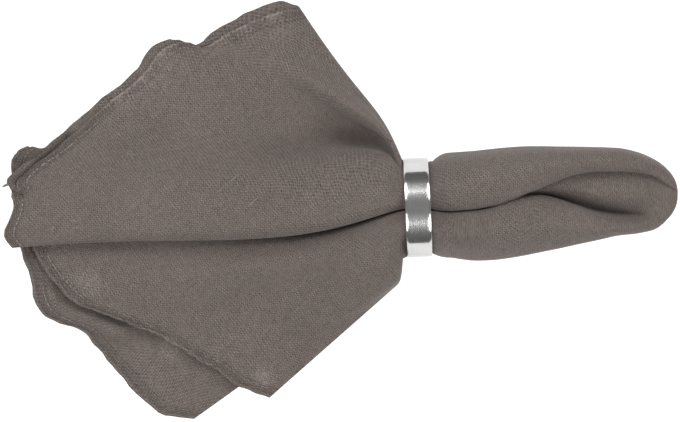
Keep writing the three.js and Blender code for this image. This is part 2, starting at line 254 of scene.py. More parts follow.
# The hem across its width: distance in from the upper layer's edge, and how far the face stands out.
PROFILE_COLUMNS = ("distance", "rise")
HEM_PROFILE = (
    (-4, -0.2),
    (-1.2, -0.25),
    (-0.5, -0.4),
    (0, 0),
    (0.6, 0.42),
    (1.1, 0.36),
    (1.75, -0.2),
    (2.3, 0.1),
    (3.2, 0.5),
    (4.2, 0.45),
    (4.75, 0.1),
    (5.2, -0.12),
    (5.8, -0.04),
    (6.4, 0),
)

# The hem's profile fades out this near to the napkin's folded edges.
CALM_EDGES = ("backEdge", "upperEdge", "creaseEdge", "lowerEdge")
CALM_EDGE_REACH = 4

# Stitches: distance in from the hem's edge, pitch, length, unevenness and radius.
STITCH_INSET = 5.1
STITCH_PITCH = 2.3
STITCH_LENGTH = 1.5
STITCH_UNEVEN = 0.5
STITCH_RADIUS = 0.18
STITCH_SEED = 3

# Threads: places along each one, its thickness there as shares, and its sides.
THREAD_PLACES = np.array([0, 0.2, 0.5, 0.8, 1])
THREAD_TAPER = np.array([0.3, 0.85, 1, 0.85, 0.3])
THREAD_SIDES = 6

# Slubs, the thick places in single threads: both ends and the radius of those that show most.
SLUBS = (
    (-60, 8.6, -54.4, 13.2, 0.2),
    (-54.6, 13, -48.5, 18.1, 0.22),
    (-45.6, 1.4, -38.4, 8.1, 0.2),
    (-67.2, -45.6, -61.9, -38.4, 0.19),
    (75.1, 14.3, 79.9, 21, 0.16),
    (60.7, 9.5, 65.5, 13.8, 0.15),
)

# A loose thread at the corner of the hem: points along it.
LOOSE_THREAD = (
    (-156.6, 14.6, 10),
    (-158.6, 13.4, 10.2),
    (-160.2, 12.7, 10),
    (-161.8, 12, 9.6),
    (-163, 11.4, 9.2),
)
LOOSE_RADIUS = 0.65

# Finer slubs all over: how many, where, along which grain, and their sizes.
SLUB_COUNT = 420
SLUB_SEED = 11
SLUB_X = (-155, 158)
SLUB_Y = (-96, 96)
SLUB_GRAIN = (45, 47, 50, -42)
SLUB_SWAY = 5
SLUB_LENGTH = (0.8, 2.6)
SLUB_THICK = (0.06, 0.12)

# Slubs are dropped on the cloth from this height, and left out where it is steep or uneven.
SLUB_DROP = 100
SLUB_LEVEL = 0.75
SLUB_STEP = 0.6

# Waves along the hem, and how far into the cloth their height and their outward push reach.
WAVE_COLUMNS = ("length", "height", "outward", "phase")
HEM_WAVES = (
    (31, 0.5, 0.3, 0.4),
    (17, 0.32, 0.3, 2.1),
    (9.5, 0.16, 0.2, 4.4),
)
HEM_WAVE_REACH = 14
OUTWARD_REACH = 6

# Creases, listed one by one: first and last fold of a panel, both ends, half width and depth, below 0 for a
# ridge.
CREASES = (
    ("pleatFoot", "creaseOver", -131.6, 35.4, -156.4, 13.8, 2, 3.6),
    ("upperCrest", "creaseOver", -158.6, 9.6, -153, 7.8, 2, 3.6),
    ("flapRidge", "pleatFoot", -72.2, 78.4, -67.6, 69, 2.6, 0.9),
    ("keel", "keelCorner", -156, 28.4, -152.2, 22.4, 1.6, 1.2),
    ("lowerShoulder", "lowerEdge", 135, -5.2, 135.4, -9.6, 1.3, 0.9),
    ("backEdge", "keel", -137, -44.6, -106, -58.6, 4, -4.2),
    ("backEdge", "keel", -96, -70, -84, -76, 5, -1.2),
    ("backEdge", "keel", -139, -44, -146, -24, 4, -1.4),
    ("backEdge", "keel", -112, -70, -84, -94, 3.5, 0.7),
)


def named(columns, rows):
    """The columns of a table by name, as arrays."""
    return {name: np.array([row[i] for row in rows]) for i, name in enumerate(columns)}


folds = named(FOLD_COLUMNS, FOLDS)
tail = named(TAIL_COLUMNS, TAIL)
hem = named(HEM_COLUMNS, HEM)
hem_profile = named(PROFILE_COLUMNS, HEM_PROFILE)
hem_waves = named(WAVE_COLUMNS, HEM_WAVES)
hem_laps = named(LAP_COLUMNS, HEM_LAPS)
fold_marks = np.arange(len(FOLDS))
steps = folds["steps"].astype(int)


def between(start, end, share):
    return start + (end - start) * share


def smooth_table(at, x, values):
    """Values listed at rising x, at other places: a smooth line with no overshoot."""
    rise = np.diff(values) / np.diff(x)
    slope = np.zeros(len(x))
    same = rise[1:] * rise[:-1] > 0
    slope[1:-1][same] = 2 * rise[1:][same] * rise[:-1][same] / (rise[1:] + rise[:-1])[same]
    slope[0] = rise[0]
    slope[-1] = rise[-1]
    first = np.clip(np.searchsorted(x, at, side="right") - 1, 0, len(x) - 2)
    width = x[first + 1] - x[first]
    t = (at - x[first]) / width
    ahead = t * t * (3 - 2 * t)
    start_push = t * (1 - t) ** 2 * width * slope[first]
    end_push = t * t * (t - 1) * width * slope[first + 1]
    return between(values[first], values[first + 1], ahead) + start_push + end_push


def strip_places(marks):
    """Where the strip's points lie among the knots of a line."""
    places = [between(marks[i], marks[i + 1], np.arange(steps[i]) / steps[i]) for i in range(len(marks) - 1)]
    return np.concatenate([*places, [marks[-1]]])


def smooth_line(knots, marks):
    """The strip's points on smooth lines through knots, which has one row of knots for each line."""
    before = 2 * knots[:, :1] - knots[:, 1:2]
    after = 2 * knots[:, -1:] - knots[:, -2:-1]
    padded = np.concatenate([before, knots, after], axis=1)
    places = strip_places(marks)
    first = np.minimum(places.astype(int), knots.shape[1] - 2)
    t = (places - first)[None, :, None]
    a, b, c, d = (padded[:, first + k] for k in range(4))
    ab, bc, cd = (np.sqrt(np.linalg.norm(q - p, axis=2, keepdims=True)) for p, q in ((a, b), (b, c), (c, d)))
    leave = ((b - a) / ab - (c - a) / (ab + bc) + (c - b) / bc) * bc
    arrive = ((c - b) / bc - (d - b) / (bc + cd) + (d - c) / cd) * bc
    square = 3 * (c - b) - 2 * leave - arrive
    cube = 2 * (b - c) + leave + arrive
    return b + t * (leave + t * (square + t * cube))


def along_strip(column):
    """A value listed for each fold, at every point of the strip."""
    return smooth_table(strip_places(fold_marks), fold_marks.astype(float), folds[column].astype(float))


def on_table(points):
    points[..., 2] = np.maximum(points[..., 2], HALF)
    return points


def held_sections(x):
    """The strip's middle line where the ring holds it, at each x."""
    angle = np.radians(folds["angle"])
    radius = STRIP_RADIUS * folds["reach"]
    y = RING_Y + radius * np.cos(angle)
    z = RING_RADIUS + radius * np.sin(angle)
    knots = np.array([np.stack([np.full(len(FOLDS), at), y, z], axis=1) for at in x])
    return smooth_line(knots, fold_marks)


def tail_sections(x):
    """The strip's middle line in the tail: a flat underside, two rolls and the leaf between them."""
    row = {name: smooth_table(x, tail["x"], tail[name]) for name in TAIL_COLUMNS}
    upper = row["upper"] - HALF
    lower = row["lower"] + HALF
    edge = row["crease"] + HALF
    roll = row["roll"] - HALF
    crest = row["crest"] - HALF
    edge_top = row["edge"] - HALF
    leaf = row["leaf"] - HALF
    low_crest = row["low_crest"] - HALF
    lap = HALF + STACK
    curl = np.minimum((low_crest - lap) / ROLL_HEIGHT, 1)
    places = [
        *[(between(upper, lower, inward), between(HALF, crest, height)) for inward, height in TAIL_WALL],
        *[(between(upper, edge, inward), between(HALF, crest, height)) for inward, height in TAIL_TOP],
        (between(edge, upper, NOSE_WIDTH), between(edge_top, crest, NOSE_HEIGHT)),
        (edge, edge_top),
        (edge + row["under"], between(edge_top, leaf, LEAF_DROP)),
        (edge + row["tuck"], leaf),
        (roll - row["low_tuck"], row["dip"] - HALF),
        (roll, row["roll_top"] - HALF),
        ((roll + lower) / 2, low_crest),
        (between(roll, lower, between(ROLL_SIDE, 1, curl)), (lap + low_crest) / 2),
        (lower + ROLL_EDGE_INSET * curl, between(lap, low_crest, ROLL_EDGE_HEIGHT)),
    ]
    knots = np.array([np.stack([x, y, z], axis=1) for y, z in places]).transpose(1, 0, 2)
    return on_table(smooth_line(knots, fold_marks))


def tip_shares():
    """How much of the tail's last section is left at each section of the tip."""
    return np.cos(np.radians(TIP_ANGLES)) / math.cos(math.radians(TIP_START))


def tip_sections(last):
    """The tail's last section drawn together to a rounded end."""
    middle = (last.min(axis=0) + last.max(axis=0)) / 2
    rows = between(middle, last, tip_shares()[:, None, None])
    reach = TIP_RADIUS * (np.sin(np.radians(TIP_ANGLES)) - math.sin(math.radians(TIP_START)))
    rows[:, :, 0] = last[:, 0] + reach[:, None]
    return rows[::-1]


def neck_sections(held, loose):
    """Sections between the ring and the tail, where the cloth swells out at once."""
    share = np.arange(1, NECK_ROWS) / NECK_ROWS
    swell = (1 - (1 - share) ** NECK_POWER)[:, None, None]
    rows = between(held[None], loose[None], swell)
    rows[:, :, 0] = between(held[0, 0], loose[0, 0], share)[:, None]
    return rows[::-1]


def hem_line():
    """The strip's end: the hem, on or over the table."""
    knots = np.stack([hem["x"], hem["y"], HALF + hem["lift"]], axis=1)
    marks = np.array([list(hem["fold"]).index(name) for name in folds["name"]])
    return on_table(smooth_line(knots[None], marks))[0]


def fold_index(name):
    """The number of a fold's point along the strip."""
    return int(np.searchsorted(strip_places(fold_marks), list(folds["name"]).index(name)))


def calm_line(line):
    """The hem without its small turns, which stay fixed at the ends of each panel."""
    calm = line.copy()
    for first, last in CALM_PANELS:
        panel = calm[fold_index(first):fold_index(last) + 1]
        for _ in range(CALM_PASSES):
            panel[1:-1] = (panel[:-2] + 2 * panel[1:-1] + panel[2:]) / 4
    return calm


def swelling(column, way):
    """How far the folds swell out, at shares of the way from the ring to the hem."""
    grown = 1 - np.exp(-((way / along_strip(column + "_grow")) ** SWELL_POWER))
    return along_strip(column) * grown * (1 - way) ** along_strip(column + "_fade")


def round_pleat(rows):
    """Soften the corners across the folds of the pleat."""
    part = rows[:, fold_index("flapRidge") - PLEAT_MARGIN:fold_index("upperCrest")]
    for _ in range(PLEAT_PASSES):
        part[:, 1:-1] = (part[:, :-2] + 2 * part[:, 1:-1] + part[:, 2:]) / 4
    return rows


def fan_sections(start, end):
    """The fan: straight runs from the ring to the hem that droop to the table and swell beside the ring."""
    calm = calm_line(end)
    length = np.linalg.norm(end - start, axis=1)
    share = (np.arange(1, FAN_ROWS + 1) / FAN_ROWS) ** FAN_CROWDING
    inner = share[:, None] * (1 - HEM_ZONE / length)[None]
    edge = 1 - np.array(HEM_ROWS)[:, None] / length[None]
    way = np.concatenate([inner, edge])
    left = 1 - way
    turns = np.exp(-((left * length / HEM_TURN_REACH) ** 2))
    goal = calm[None] + (end - calm)[None] * turns[:, :, None]
    points = between(start[None], goal, way[:, :, None])
    points[:, :, 1] += swelling("spread", way)
    fall = left ** along_strip("droop")
    points[:, :, 2] = end[:, 2] + (start[:, 2] - end[:, 2]) * fall + swelling("rise", way)
    return on_table(round_pleat(points)), left * length


def strip_rows():
    """The strip's middle surface, in rows from tip to hem, and each point's distance to the hem."""
    tail_x = np.linspace(tail["x"][-1], tail["x"][0], TAIL_ROWS)
    loose = tail_sections(tail_x)
    held = held_sections([RING_X + RING_REACH, RING_X, RING_X - RING_REACH])
    fan, to_hem = fan_sections(held[-1], hem_line())
    rows = [tip_sections(loose[0]), loose, neck_sections(held[0], loose[-1]), held, fan]
    far = np.full((sum(len(part) for part in rows[:-1]), to_hem.shape[1]), to_hem.max())
    return np.concatenate(rows), np.concatenate([far, to_hem])


def unit(vectors):
    return vectors / np.maximum(np.linalg.norm(vectors, axis=-1, keepdims=True), 1e-9)


def strip_normals(rows):
    return unit(np.cross(np.gradient(rows, axis=0), np.gradient(rows, axis=1)))


def arc_length(points, axis):
    """Length along lines of points from their first one."""
    step = np.linalg.norm(np.diff(points, axis=axis), axis=-1)
    start = np.zeros_like(np.take(step, [0], axis=axis))
    return np.concatenate([start, np.cumsum(step, axis=axis)], axis=axis)


def turned(x, y, angle):
    """Places of a plane, turned about its origin."""
    return x * math.cos(angle) - y * math.sin(angle), x * math.sin(angle) + y * math.cos(angle)


def hem_ripple(rows, to_hem):
    """Small waves along the hem that die away into the cloth."""
    place = arc_length(rows[-1], 0)
    wave = np.sin(2 * np.pi * place[:, None] / hem_waves["length"] + hem_waves["phase"])
    rows[:, :, 2] += wave @ hem_waves["height"] * np.exp(-((to_hem / HEM_WAVE_REACH) ** 2))
    ahead = unit(rows[-1] - rows[-2])[:, :2]
    push = wave @ hem_waves["outward"] * edge_calm(rows[-1]) * np.exp(-((to_hem / OUTWARD_REACH) ** 2))
    rows[:, :, :2] += ahead * push[..., None]
    return on_table(rows)


def lay_creases(rows):
    """The strip with the listed creases pressed into it."""
    for first, last, x0, y0, x1, y1, width, depth in CREASES:
        panel = rows[:, fold_index(first):fold_index(last) + 1]
        run = np.array((x1 - x0, y1 - y0))
        offset = panel[..., :2] - (x0, y0)
        share = np.clip(offset @ run / (run @ run), 0, 1)
        aside = np.linalg.norm(offset - share[..., None] * run, axis=-1)
        panel[..., 2] -= depth * np.exp(-((aside / width) ** 2))
    return on_table(rows)


def loop(rows, normals, distance):
    """Closed rings of points round the strip at a distance from its middle, rounded at both edges."""
    near = rows + normals * distance[..., None]
    far = rows - normals * distance[..., None]
    angles = np.radians(CAP_ANGLES)

    def cap(edge, inner, turns):
        outward = unit(rows[:, edge] - rows[:, inner])[:, None] * np.cos(turns)[None, :, None]
        sideways = normals[:, edge][:, None] * np.sin(turns)[None, :, None]
        return rows[:, edge][:, None] + distance[:, edge][:, None, None] * (sideways + outward)

    points = np.concatenate([near, cap(-1, -2, angles), far[:, ::-1], cap(0, 1, angles[::-1])], axis=1)
    points[..., 2] = np.maximum(points[..., 2], 0)
    return points


def round_loop(values):
    """Values of the strip's points, put in the order of a loop round the strip."""
    count = len(CAP_ANGLES)
    end = np.repeat(values[:, -1:], count, axis=1)
    start = np.repeat(values[:, :1], count, axis=1)
    return np.concatenate([values, end, values[:, ::-1], start], axis=1)


def wall(index):
    """Faces between rows of closed loops of point numbers."""
    here = index[:-1]
    ahead = index[1:]
    corners = [here, ahead, np.roll(ahead, -1, axis=1), np.roll(here, -1, axis=1)]
    return np.stack(corners, axis=-1).reshape(-1, 4)


def end_faces(ring, width):
    """Faces that close a loop round the strip, from its one face to its other."""
    caps = len(CAP_ANGLES)
    near = ring[:width]
    far = ring[width + caps:2 * width + caps][::-1]
    quads = np.stack([near[:-1], near[1:], far[1:], far[:-1]], axis=1).tolist()
    last = [near[-1], *ring[width:width + caps], far[-1]]
    first = [far[0], *ring[2 * width + caps:], near[0]]
    return [*quads, last, first]


def new_object(name, data):
    made = bpy.data.objects.new(name, data)
    bpy.context.scene.collection.objects.link(made)
    return made


def new_piece(name, points, faces, material):
    """A smooth mesh object from points in millimetres."""
    mesh = bpy.data.meshes.new(name)
    mesh.from_pydata((np.asarray(points) * MM).tolist(), [], [[int(i) for i in face] for face in faces])
    mesh.materials.append(material)
    mesh.shade_smooth()
    mesh.update()
    return new_object(name, mesh)


def add_map(piece, name, places):
    """A UV map in metres from a place for each point of the mesh."""
    mesh = piece.data
    corner = np.zeros(len(mesh.loops), int)
    mesh.loops.foreach_get("vertex_index", corner)
    layer = mesh.uv_layers.new(name=name)
    layer.data.foreach_set("uv", (places * MM)[corner].astype(np.float32).ravel())


def thread_map(rows):
    """A flat place for each point of the strip that keeps its threads evenly apart, in fan and roll."""
    distance = arc_length(rows, 0)
    grain = math.radians(GRAIN)
    outer_fan = slice(-FAN_ROWS, -len(HEM_ROWS))
    step = np.linalg.norm(np.diff(rows[outer_fan], axis=1), axis=2)
    longer = np.diff(distance[outer_fan], axis=1)
    sideways = np.sqrt(np.maximum(step ** 2 - longer ** 2, (LEAST_TURN * step) ** 2))
    turn = (sideways / distance[outer_fan, 1:]).mean(axis=0)
    angle = np.concatenate([[0], np.cumsum(turn)])
    angle += grain - angle[fold_index("upperCrest")]
    fan = np.stack([distance * np.cos(angle), distance * np.sin(angle)], axis=-1)
    along = np.broadcast_to(distance.mean(axis=1, keepdims=True), distance.shape)
    roll = np.stack(turned(along, arc_length(rows, 1), grain), axis=-1)
    return np.where(rows[..., :1] > RING_X, roll, fan)


def hem_inset(to_hem):
    """Distance of each point in from the edge of the upper layer, below 0 on the lower layer past it."""
    places = [fold_index(name) + past for name, past in zip(hem_laps["fold"], hem_laps["past"])]
    return to_hem - np.interp(np.arange(to_hem.shape[1]), places, hem_laps["lap"])


def edge_calm(line):
    """How much of the hem's profile is left near the folded edges of the napkin, along the hem."""
    place = arc_length(line, 0)
    away = [np.abs(place - place[fold_index(name)]) for name in CALM_EDGES]
    return np.clip(np.min(away, axis=0) / CALM_EDGE_REACH, 0, 1)


def hem_rise(rows, inset):
    """How far the strip's faces stand out for the turned hem."""
    distance = hem_profile["distance"]
    rise = smooth_table(np.clip(inset, distance[0], distance[-1]), distance, hem_profile["rise"])
    return rise * edge_calm(rows[-1])


def slit_numbers(count):
    """The rows that the slit between the layers keeps."""
    hem_start = count - len(HEM_ROWS)
    inner = np.arange(len(TIP_ANGLES) + 1, hem_start, SLIT_STEP)
    near_hem = np.arange(hem_start, count, SLIT_HEM_STEP)
    return np.unique([*inner, *near_hem, count - 1])


def hem_rim(outer, slit):
    """The rounded edge of the hem, between the last loop of the skin and the last one of the slit."""
    middle = (outer + slit) / 2
    radius = np.linalg.norm(outer - slit, axis=1, keepdims=True) / 2
    side = np.roll(outer, -1, axis=0) - np.roll(outer, 1, axis=0)
    outward = unit(np.cross(side, outer - slit))
    turns = np.radians(RIM_ANGLES)[:, None, None]
    rim = middle + (outer - middle) * np.cos(turns) + outward * radius * np.sin(turns)
    rim[..., 2] = np.maximum(rim[..., 2], 0)
    return rim


def napkin_piece(rows, inset, normals, rise, material):
    """The napkin: a skin over the whole strip, the slit between its layers, and a rounded hem edge."""
    width = rows.shape[1]
    thin = np.ones(len(rows))
    thin[:len(TIP_ANGLES)] = tip_shares()[::-1]
    outer = loop(rows, normals, (HALF + rise) * thin[:, None])
    kept = slit_numbers(len(rows))
    slit = loop(rows[kept], normals[kept], np.full((len(kept), width), LAYER_GAP / 2))
    rim = hem_rim(outer[-1], slit[-1])
    loops = np.concatenate([outer, rim, slit[::-1]])
    index = np.arange(loops.shape[0] * loops.shape[1]).reshape(loops.shape[:2])
    slit_end = [face[::-1] for face in end_faces(index[-1], width)]
    faces = [*wall(index).tolist(), *end_faces(index[0], width), *slit_end]
    piece = new_piece("napkin_cloth", loops.reshape(-1, 3), faces, material)
    along_hem = np.broadcast_to(arc_length(rows[-1], 0), inset.shape)
    for name, places in (("cloth", thread_map(rows)), ("hem", np.stack([along_hem, inset], axis=-1))):
        around = round_loop(places)
        on_rim = np.repeat(around[-1:], len(rim), axis=0)
        add_map(piece, name, np.concatenate([around, on_rim, around[kept][::-1]]).reshape(-1, 2))
    return piece


def stitch_row(inset):
    """The place among the rows where the stitches cross one column of the strip."""
    hem_part = slice(-len(HEM_ROWS), None)
    return np.interp(-STITCH_INSET, -inset[hem_part], np.arange(len(inset))[hem_part])


def across_rows(values, places):
    """Values of the strip along a line that crosses its rows at a place for each column."""
    first = np.floor(places).astype(int)
    column = np.arange(values.shape[1])
    return between(values[first, column], values[first + 1, column], (places - first)[:, None])


def thread_piece(name, threads, material):
    """Short threads as one mesh, each from a path, the way up along it and a radius."""
    turns = np.radians(np.arange(THREAD_SIDES) * 360 / THREAD_SIDES)
    points = []
    faces = []
    for path, up, radius in threads:
        ahead = unit(path[-1] - path[0])
        across = unit(np.cross(up, ahead))
        thick = radius * THREAD_TAPER
        sunk = path - up * (radius - thick)[:, None]
        ring = across[:, None] * np.cos(turns)[None, :, None] + up[:, None] * np.sin(turns)[None, :, None]
        count = len(path) * THREAD_SIDES
        index = len(points) * count + np.arange(count).reshape(len(path), THREAD_SIDES)
        points.append((sunk[:, None] + ring * thick[:, None, None]).reshape(-1, 3))
        faces += wall(index)[:, ::-1].tolist()
        faces.append(index[0].tolist())
        faces.append(index[-1][::-1].tolist())
    return new_piece(name, np.concatenate(points), faces, material)


def stitch_piece(rows, inset, normals, rise, material):
    """The hem's sewing: short raised threads in a line on both faces of the strip."""
    hem_tone_and_shade = [stitch_row(inset[:, column]) for column in range(rows.shape[1])]
    middle, upright, stand = (across_rows(values, hem_tone_and_shade) for values in (rows, normals, rise[..., None]))
    rng = np.random.default_rng(STITCH_SEED)
    threads = []
    for side in (1, -1):
        line = middle + upright * side * (HALF + stand + STITCH_RADIUS / 2)
        place = arc_length(line, 0)
        for start in np.arange(STITCH_PITCH / 2, place[-1] - 2 * STITCH_LENGTH, STITCH_PITCH):
            length = STITCH_LENGTH * (1 + STITCH_UNEVEN * rng.uniform(-1, 1))
            at = start + STITCH_UNEVEN * rng.uniform(-1, 1) + length * THREAD_PLACES
            path = np.stack([np.interp(at, place, line[:, k]) for k in range(3)], axis=1)
            up = unit(np.stack([np.interp(at, place, upright[:, k] * side) for k in range(3)], axis=1))
            if path[:, 2].min() > 2 * STITCH_RADIUS:
                threads.append((path, up, STITCH_RADIUS))
    return thread_piece("hem_stitches", threads, material)


def slub_ends():
    """Both ends and the radius of every slub, the listed ones first."""
    rng = np.random.default_rng(SLUB_SEED)
    slubs = list(SLUBS)
    for _ in range(SLUB_COUNT):
        x = rng.uniform(*SLUB_X)
        y = rng.uniform(*SLUB_Y)
        turn = math.radians(rng.choice(SLUB_GRAIN) + rng.normal(0, SLUB_SWAY))
        length = rng.uniform(*SLUB_LENGTH)
        thick = rng.uniform(*SLUB_THICK)
        slubs.append((x, y, x + length * math.cos(turn), y + length * math.sin(turn), thick))
    return slubs


def slub_piece(cloth, material):
    """Thick places in single threads of the linen, lying on its upper face, and the loose thread."""
    mesh = cloth.data
    points = [vertex.co / MM for vertex in mesh.vertices]
    tree = BVHTree.FromPolygons(points, [list(face.vertices) for face in mesh.polygons])
    loose = np.array(LOOSE_THREAD)
    threads = [(loose, np.tile((0.0, 0.0, 1.0), (len(loose), 1)), LOOSE_RADIUS)]
    for x0, y0, x1, y1, thick in slub_ends():
        tops = [(between(x0, x1, t), between(y0, y1, t), SLUB_DROP) for t in THREAD_PLACES]
        hits = [tree.ray_cast(top, (0, 0, -1)) for top in tops]
        if any(hit[0] is None or hit[1].z < SLUB_LEVEL for hit in hits):
            continue
        path = np.array([hit[0] for hit in hits])
        if np.ptp(np.diff(path[:, 2])) < SLUB_STEP:
            threads.append((path, np.array([hit[1] for hit in hits]), thick))
    return thread_piece("linen_slubs", threads, material)


def band_piece(material):
    """The ring: a band with soft shoulders beside its flat middle, and rounded edges."""
    half = RING_WIDTH / 2 - RING_EDGE
    face = np.linspace(-half, half, RING_FACE_STEPS + 1)
    drop = np.maximum(np.abs(face) - RING_FLAT, 0) ** 2 / (2 * RING_SHOULDER)
    inner = RING_RADIUS - RING_WALL + RING_EDGE
    outer = RING_RADIUS - drop[-1] - RING_EDGE
    slope = math.degrees((half - RING_FLAT) / RING_SHOULDER)
    corners = (
        (outer, half, slope, 90),
        (inner, half, 90, 180),
        (inner, -half, 180, 270),
        (outer, -half, 270, 360 - slope),
    )
    profile = []
    for radius, x, start, end in corners:
        for angle in np.radians(np.linspace(start, end, RING_EDGE_STEPS + 1)):
            profile.append((x + RING_EDGE * math.sin(angle), radius + RING_EDGE * math.cos(angle)))
    profile += list(zip(face, RING_RADIUS - drop))[1:-1]
    section_x, section_radius = np.array(profile).T
    turn = (2 * np.pi * np.arange(RING_SEGMENTS) / RING_SEGMENTS)[:, None]
    across, around = np.broadcast_arrays(section_x, turn * RING_RADIUS)
    x, y = turned(across, section_radius * np.sin(turn), RING_TURN)
    z = section_radius * np.cos(turn)
    points = np.stack([x + RING_X, y + RING_Y, z + RING_RADIUS], axis=-1)
    index = np.arange(across.size).reshape(across.shape)
    faces = wall(np.concatenate([index, index[:1]]))
    piece = new_piece("ring_band", points.reshape(-1, 3), faces, material)
    add_map(piece, "band", np.stack([across, around], axis=-1).reshape(-1, 2))
    return piece


# Noises are given by scale, detail and roughness, and lie mostly in this range.
NOISE_RANGE = (0.3, 0.7)


class Nodes:
    """Short calls for building a material's node tree."""

    def __init__(self, name):
        self.material = bpy.data.materials.new(name)
        self.material.use_nodes = True
        self.tree = self.material.node_tree
        self.shader = self.tree.nodes["Principled BSDF"]

    def feed(self, node, inputs):
        """Set a node's inputs, each to a constant or from another node's output."""
        for key, value in inputs.items():
            if isinstance(value, bpy.types.NodeSocket):
                self.tree.links.new(value, node.inputs[key])
            else:
                node.inputs[key].default_value = value

    def new(self, kind, inputs=(), **settings):
        node = self.tree.nodes.new(kind)
        for key, value in settings.items():
            setattr(node, key, value)
        self.feed(node, dict(inputs))
        return node

    def math(self, operation, first, second=0.0):
        return self.new("ShaderNodeMath", {0: first, 1: second}, operation=operation).outputs[0]

    def total(self, *values):
        return functools.reduce(lambda a, b: self.math("ADD", a, b), values)

    def product(self, *values):
        return functools.reduce(lambda a, b: self.math("MULTIPLY", a, b), values)

    def scaled(self, vector, factor):
        return self.new("ShaderNodeVectorMath", {0: vector, "Scale": factor}, operation="SCALE").outputs[0]

    def stretched(self, vector, x, y):
        return self.new("ShaderNodeMapping", {"Vector": vector, "Scale": (x, y, 1)}).outputs[0]

    def spread(self, value, low, high, to_low, to_high):
        """A value taken from one range to another, held inside it."""
        inputs = {"Value": value, "From Min": low, "From Max": high, "To Min": to_low, "To Max": to_high}
        return self.new("ShaderNodeMapRange", inputs).outputs["Result"]

    def noise(self, vector, scale, detail, roughness):
        """The outputs of a noise: Fac is one value, and Color is three."""
        inputs = {"Vector": vector, "Scale": scale, "Detail": detail, "Roughness": roughness}
        return self.new("ShaderNodeTexNoise", inputs).outputs

    def ramp(self, value, stops):
        """A value read from a table of places from 0 to 1, where each gives a value from -0.5 to 0.5."""
        node = self.new("ShaderNodeValToRGB", {"Fac": value})
        elements = node.color_ramp.elements
        while len(elements) < len(stops):
            elements.new(0.5)
        for element, (place, _) in zip(elements, stops):
            element.position = place
        for element, (_, level) in zip(elements, stops):
            element.color = (level + 0.5, level + 0.5, level + 0.5, 1)
        return self.math("SUBTRACT", node.outputs["Color"], 0.5)

    def near(self, vector, centre, radius):
        """1 at a centre, and 0 from a radius on."""
        far = self.new("ShaderNodeVectorMath", {0: vector, 1: centre}, operation="DISTANCE").outputs["Value"]
        return self.spread(far, 0, radius, 1, 0)

    def shade(self, factor, dark, light):
        """A colour between two, by a factor from 0 to 1."""
        node = self.new("ShaderNodeMix", {"Factor": factor}, data_type="RGBA")
        ends = [socket for socket in node.inputs if socket.type == "RGBA"]
        for socket, colour in zip(ends, (dark, light)):
            socket.default_value = (*colour, 1)
        return next(socket for socket in node.outputs if socket.type == "RGBA")

    def bump(self, height, strength, distance, under=()):
        """A normal from a height, over the normal that may be given."""
        inputs = {"Height": height, "Strength": strength, "Distance": distance, **dict(under)}
        return self.new("ShaderNodeBump", inputs).outputs[0]


# Linen: threads are this far apart and waver by this many threads. Colours are linear.
THREAD_PITCH = 0.66
THREAD_SWAY = 3.0
SWAY_NOISE = (170.0, 2.0, 0.5)
LINEN_DARK = (0.038, 0.0304, 0.0268)
LINEN_LIGHT = (0.172, 0.143, 0.1285)
LINEN_ROUGHNESS = (0.95, 0.82)
LINEN_SHEEN = 0.12
SHEEN_ROUGHNESS = 0.5
LINEN_GLOSS = 0.2

# Weave: crossings of threads, streaks by their scale across and along a thread, ripples and clouds.
OVER_EDGE = 0.2
BULGE_POWER = 0.6
STREAK_SCALE = (0.9, 0.11)
STREAK_NOISE = (1.0, 3.0, 0.6)
STREAK_HEIGHT = 0.8
RIPPLE_RANGE = (0.35, 0.65)
RIPPLE_SHARES = (0.3, 1)
CLOUD_NOISE = (28.0, 3.0, 0.55)
WEAVE_BUMP = (0.35, 0.15 * MM)

# What each part of the weave gives to the tone, from dark at 0 to light at 1.
OVER_TONES = (0.22, 0.54)
SPECK_TONES = (-0.12, 0.12)
STREAK_TONES = (-0.12, 0.12)
RIPPLE_TONES = (-0.16, 0.16)
# The bulge tone is painted shade in the gaps between threads and painted light on their tops.
BULGE_SHADE_TONES = (-0.08, 0.07)
CLOUD_TONES = (-0.04, 0.04)

# The hem's tone by distance in from its edge: rolled edge, groove, band, rubbed seam and its far side. The
# lighter rolled edge is painted light, the darker groove, band, lower layer beside the edge and seam's far
# side are painted shade, and the rubbed seam is wear.
HEM_TONES_AND_SHADE = (
    (-6, -0.02),
    (-1.8, -0.06),
    (-0.6, -0.14),
    (0.1, -0.06),
    (0.7, 0.06),
    (1.7, -0.13),
    (2.5, -0.15),
    (4.3, -0.13),
    (4.9, -0.08),
    (5.3, -0.08),
    (5.9, -0.17),
    (6.9, 0),
)
HEM_START = -6
HEM_END = 8

# Places where the linen is rubbed light: x, y, z and radius, on the cloth as it lies.
WORN = (
    (-108, 57, 7, 11),
    (-97, 66, 7, 11),
    (-87, 76, 7, 10),
    (-62, 83, 5, 11),
    (-48, 90, 5, 8),
    (-34, 95.5, 5, 8),
    (-38, -80, 5, 7),
    (-121, -35, 5, 8),
    (-82, -66, 2, 8),
)

# The rubbing starts and ends this far in from the hem's edge, leaves this much beyond, and varies by thread.
RUBBED_EDGE = (-0.2 * MM, 0.5 * MM)
RUBBED_END = (1.0 * MM, 2.6 * MM)
RUBBED_BEYOND = 0.45
RUBBED_LEVEL = (0.2, 1.1)

# Gathers of the cloth along the seam: scale along and across the hem, and how far in they end.
GATHER_SCALE = (420, 90)
GATHER_NOISE = (1.0, 2.0, 0.5)
GATHER_END = (5 * MM, 8 * MM)
GATHER_BUMP = (0.6, 0.8 * MM)


